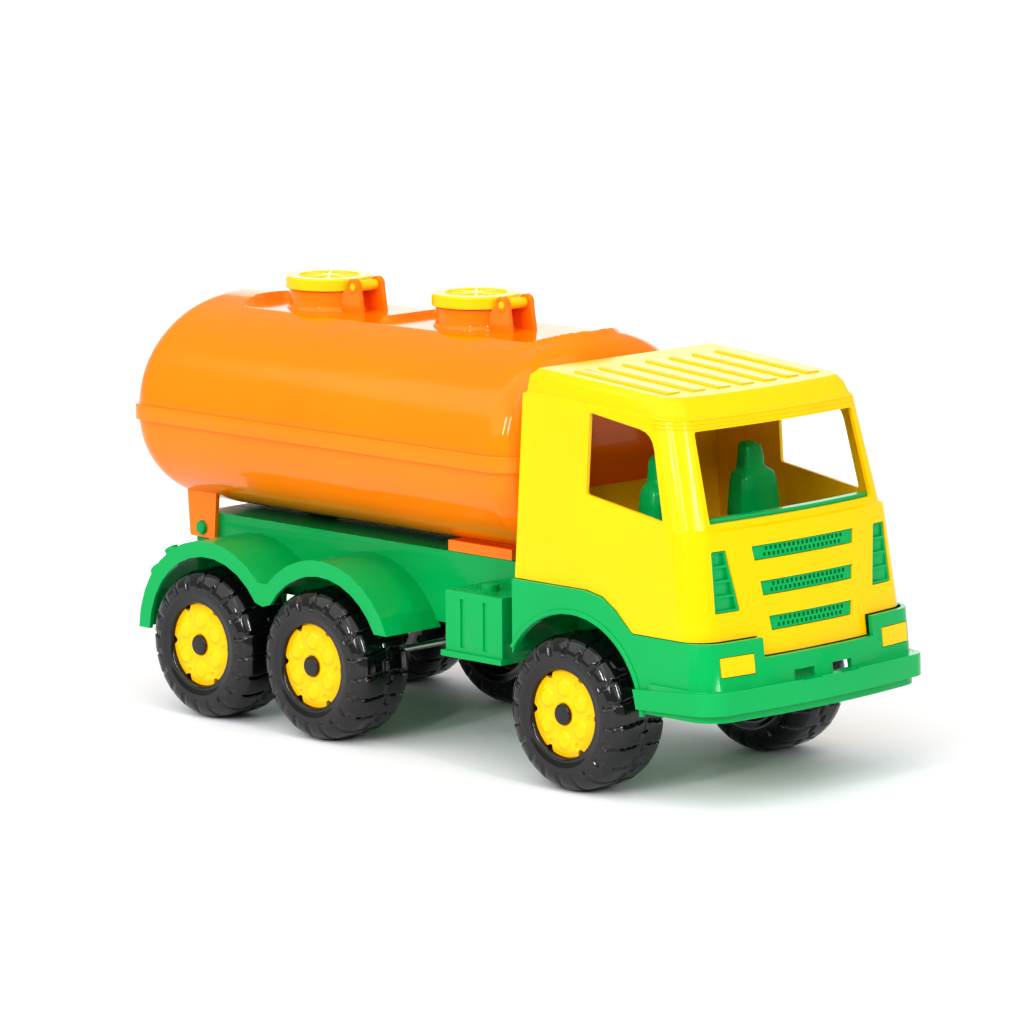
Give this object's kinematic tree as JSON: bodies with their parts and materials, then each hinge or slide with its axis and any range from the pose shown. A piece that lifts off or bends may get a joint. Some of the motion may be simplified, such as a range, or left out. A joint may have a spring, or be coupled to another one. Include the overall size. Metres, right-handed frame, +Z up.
{
  "type": "toy tanker truck",
  "caption": "Push-along plastic tanker truck with a tipping tank, hinged hatch lids on top, an open cab with seats and wheels that turn on steel axles.",
  "frame": {"origin": "on the ground under the middle of the bounding box", "axes": "+X forward through the cab, +Y to the truck's left, +Z up"},
  "size_m": [0.471, 0.183, 0.2449],
  "materials": {
    "green_plastic": "glossy moulded polypropylene, bright green",
    "yellow_plastic": "glossy moulded polypropylene, warm yellow",
    "orange_plastic": "glossy moulded polypropylene, orange",
    "tyre_black": "glossy black moulded plastic with chunky tread",
    "axle_steel": "bright drawn steel"
  },
  "bodies": {
    "truck": {"chassis": "green_plastic", "cab_base": "green_plastic", "cab_shell": "yellow_plastic", "dash_grille_panel": "green_plastic", "headlamp_right": "yellow_plastic", "headlamp_left": "yellow_plastic", "seats": "green_plastic", "cab_screw_1": "axle_steel", "cab_screw_2": "axle_steel", "cab_screw_3": "axle_steel", "cab_screw_4": "axle_steel"},
    "front_axle_set": {"front_axle": "axle_steel", "front_tyre_right": "tyre_black", "front_hub_right": "yellow_plastic", "front_cap_right": "tyre_black", "front_tyre_left": "tyre_black", "front_hub_left": "yellow_plastic", "front_cap_left": "tyre_black"},
    "middle_axle_set": {"middle_axle": "axle_steel", "middle_tyre_right": "tyre_black", "middle_hub_right": "yellow_plastic", "middle_cap_right": "tyre_black", "middle_tyre_left": "tyre_black", "middle_hub_left": "yellow_plastic", "middle_cap_left": "tyre_black"},
    "rear_axle_set": {"rear_axle": "axle_steel", "rear_tyre_right": "tyre_black", "rear_hub_right": "yellow_plastic", "rear_cap_right": "tyre_black", "rear_tyre_left": "tyre_black", "rear_hub_left": "yellow_plastic", "rear_cap_left": "tyre_black"},
    "tank": {"tank_upper_shell": "orange_plastic", "tank_lower_shell": "orange_plastic"},
    "rear_lid": {"hatch_lid_rear": "yellow_plastic"},
    "front_lid": {"hatch_lid_front": "yellow_plastic"}
  },
  "joints": [
    {"name": "front_axle_spin", "type": "hinge", "parent": "truck", "child": "front_axle_set", "pos_m": [0.126, 0, 0.042], "axis": [0, 1, 0], "continuous": true},
    {"name": "middle_axle_spin", "type": "hinge", "parent": "truck", "child": "middle_axle_set", "pos_m": [-0.0676, 0, 0.042], "axis": [0, 1, 0], "continuous": true},
    {"name": "rear_axle_spin", "type": "hinge", "parent": "truck", "child": "rear_axle_set", "pos_m": [-0.1597, 0, 0.042], "axis": [0, 1, 0], "continuous": true},
    {"name": "tank_tilt", "type": "hinge", "parent": "truck", "child": "tank", "pos_m": [-0.2037, 0, 0.09854], "axis": [0, -1, 0], "range_deg": [0, 45]},
    {"name": "rear_lid_hinge", "type": "hinge", "parent": "tank", "child": "rear_lid", "pos_m": [-0.116, 0, 0.24025], "axis": [0, 1, 0], "range_deg": [0, 110]},
    {"name": "front_lid_hinge", "type": "hinge", "parent": "tank", "child": "front_lid", "pos_m": [0.002, 0, 0.24025], "axis": [0, 1, 0], "range_deg": [0, 110]}
  ]
}
